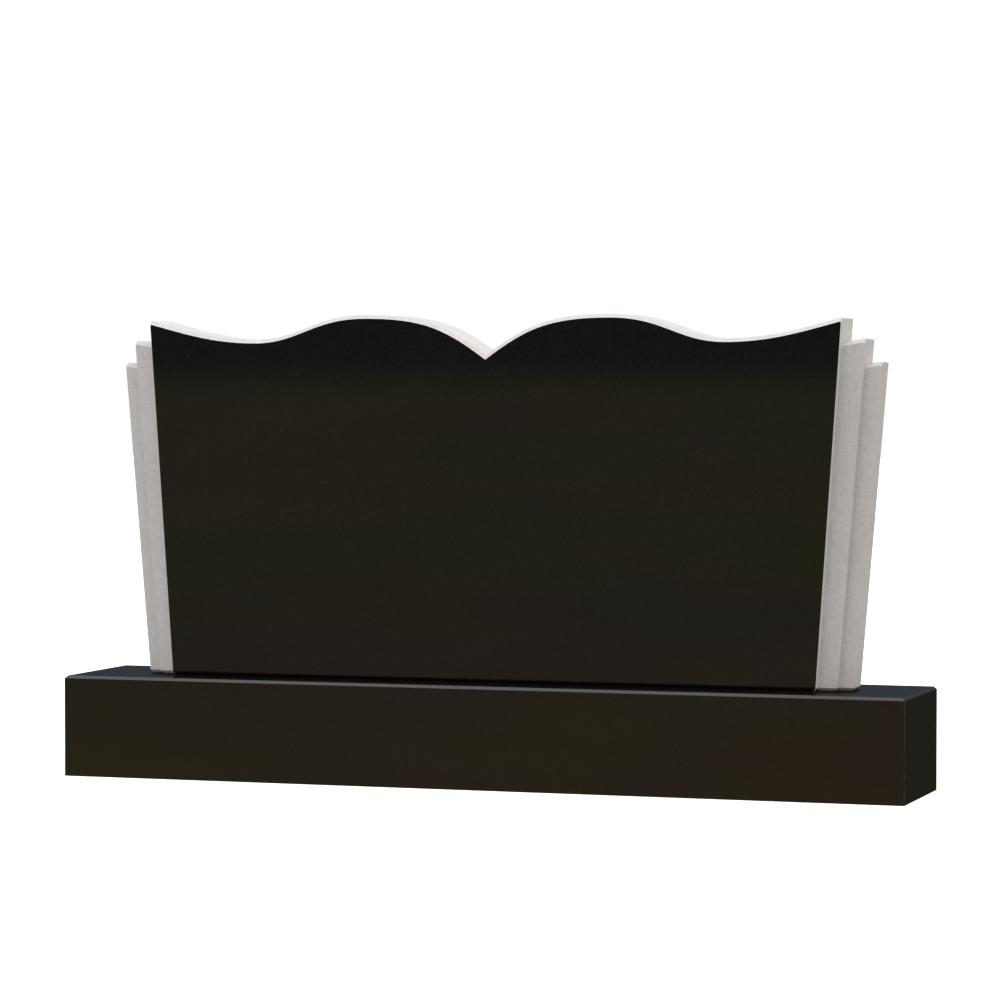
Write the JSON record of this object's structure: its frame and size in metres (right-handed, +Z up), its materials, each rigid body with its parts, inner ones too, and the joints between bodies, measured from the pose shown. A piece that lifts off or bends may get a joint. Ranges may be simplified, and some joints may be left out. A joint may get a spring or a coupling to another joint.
{
  "type": "family gravestone",
  "caption": "Broad upright stone slab with an open-book top edge and stepped, flaring sides, standing on a long low rectangular plinth.",
  "frame": {"origin": "on the ground, under the middle of the plinth", "axes": "+X along the plinth to the right as seen from the front, +Y towards the back, +Z up"},
  "size_m": [1.75, 0.3, 0.9413],
  "materials": {
    "polished_granite": "polished black granite, mirror-smooth, with a faint warm brown cast",
    "slab_granite": "black granite, polished on the front face and left sawn and light grey on the back and on every edge and step"
  },
  "bodies": {
    "root": {"plinth": "polished_granite", "stele": "slab_granite"}
  },
  "joints": []
}
